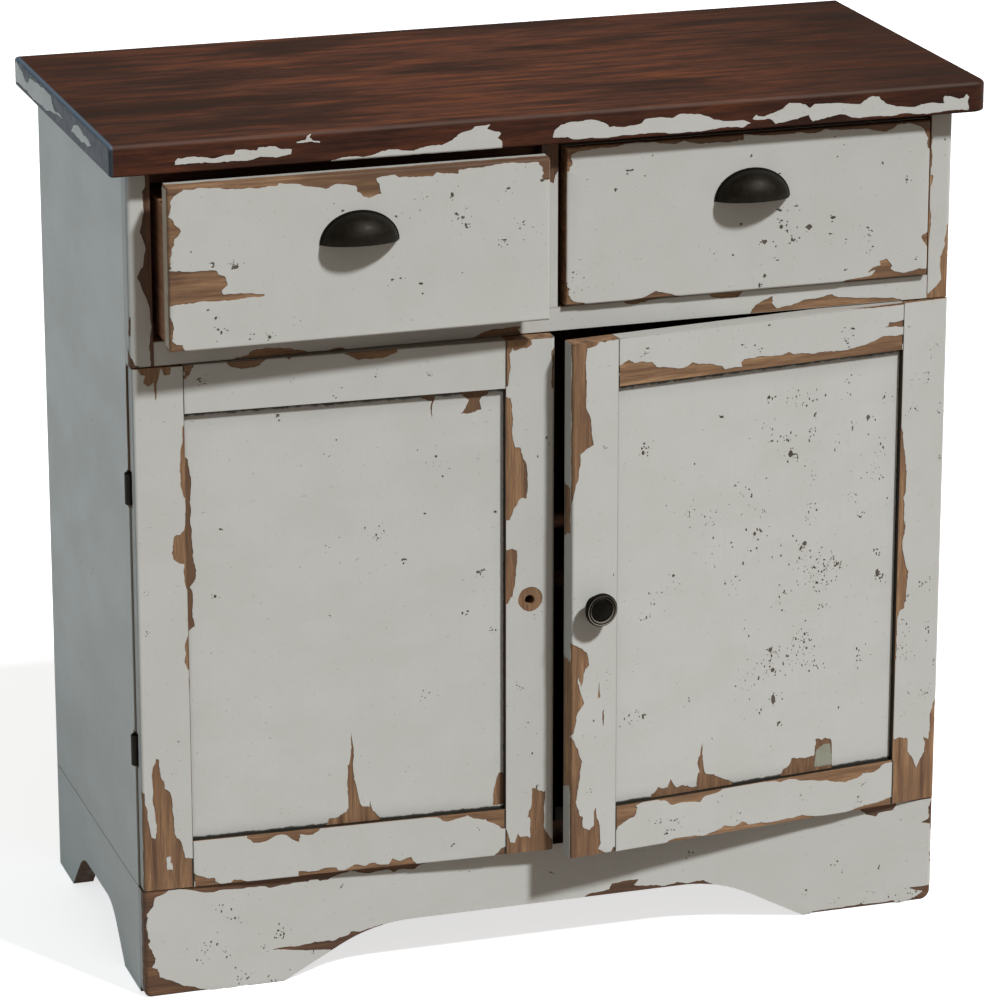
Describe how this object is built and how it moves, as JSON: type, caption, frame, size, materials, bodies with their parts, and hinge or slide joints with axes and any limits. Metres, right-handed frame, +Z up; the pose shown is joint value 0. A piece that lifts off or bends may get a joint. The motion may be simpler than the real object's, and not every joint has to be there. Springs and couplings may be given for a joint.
{
  "type": "painted cabinet",
  "caption": "Low painted wooden cabinet with drawers side by side over framed doors, a stained top board and a shaped bracket base.",
  "frame": {"origin": "on the floor, in the middle of the case's footprint", "axes": "+X to the right along the front, +Y to the back, +Z up"},
  "size_m": [0.8466, 0.4289, 0.833],
  "materials": {
    "worn_paint": "off-white paint, chipped to bare wood",
    "stained_top": "dark red-brown stain, satin, with paint left along the edges",
    "bare_wood": "bare softwood",
    "dark_bronze": "dark bronze, satin",
    "steel": "zinc plated",
    "catch": "brown moulded"
  },
  "bodies": {
    "case": {"back_panel": "bare_wood", "back_stretcher": "bare_wood", "base_back_rail": "bare_wood", "base_corner_blocks": "bare_wood", "base_front_board": "worn_paint", "base_left_board": "worn_paint", "base_right_board": "worn_paint", "centre_face_stile": "worn_paint", "centre_runner": "bare_wood", "door_catches": "catch", "drawer_rail": "worn_paint", "drawer_stops": "bare_wood", "floor_panel": "bare_wood", "frame_leaf_screws": "steel", "front_stretcher": "bare_wood", "hinge_frame_leaves": "dark_bronze", "hinge_pins": "dark_bronze", "left_face_stile": "worn_paint", "left_side_panel": "worn_paint", "right_face_stile": "worn_paint", "right_side_panel": "worn_paint", "runner_back_rail": "bare_wood", "shelf": "bare_wood", "shelf_pins": "steel", "side_runners": "bare_wood", "top_board": "stained_top", "top_board_screws": "steel"},
    "left_drawer": {"left_drawer_back": "bare_wood", "left_drawer_bottom": "bare_wood", "left_drawer_cup_pull": "dark_bronze", "left_drawer_front": "worn_paint", "left_drawer_left_side": "bare_wood", "left_drawer_pull_screws": "steel", "left_drawer_right_side": "bare_wood"},
    "right_drawer": {"right_drawer_back": "bare_wood", "right_drawer_bottom": "bare_wood", "right_drawer_cup_pull": "dark_bronze", "right_drawer_front": "worn_paint", "right_drawer_left_side": "bare_wood", "right_drawer_pull_screws": "steel", "right_drawer_right_side": "bare_wood"},
    "left_door": {"left_door_bottom_rail": "worn_paint", "left_door_hinge_leaves": "dark_bronze", "left_door_hinge_stile": "worn_paint", "left_door_leaf_screws": "steel", "left_door_lock_stile": "worn_paint", "left_door_panel": "worn_paint", "left_door_strike_plate": "steel", "left_door_top_rail": "worn_paint"},
    "right_door": {"right_door_bottom_rail": "worn_paint", "right_door_hinge_leaves": "dark_bronze", "right_door_hinge_stile": "worn_paint", "right_door_knob": "dark_bronze", "right_door_knob_bolt": "steel", "right_door_leaf_screws": "steel", "right_door_lock_stile": "worn_paint", "right_door_panel": "worn_paint", "right_door_strike_plate": "steel", "right_door_top_rail": "worn_paint"}
  },
  "joints": [
    {"name": "left_drawer_slide", "type": "slide", "parent": "case", "child": "left_drawer", "axis": [0, -1, 0], "range_m": [-0.04, 0.16]},
    {"name": "right_drawer_slide", "type": "slide", "parent": "case", "child": "right_drawer", "axis": [0, -1, 0], "range_m": [-0.007, 0.193]},
    {"name": "left_door_hinge", "type": "hinge", "parent": "case", "child": "left_door", "pos_m": [-0.4, -0.1615, 0.36375], "axis": [0, 0, -1], "range_deg": [-2.3, 167.7]},
    {"name": "right_door_hinge", "type": "hinge", "parent": "case", "child": "right_door", "pos_m": [0.4, -0.1615, 0.36375], "axis": [0, 0, 1], "range_deg": [-6.5, 163.5]}
  ]
}
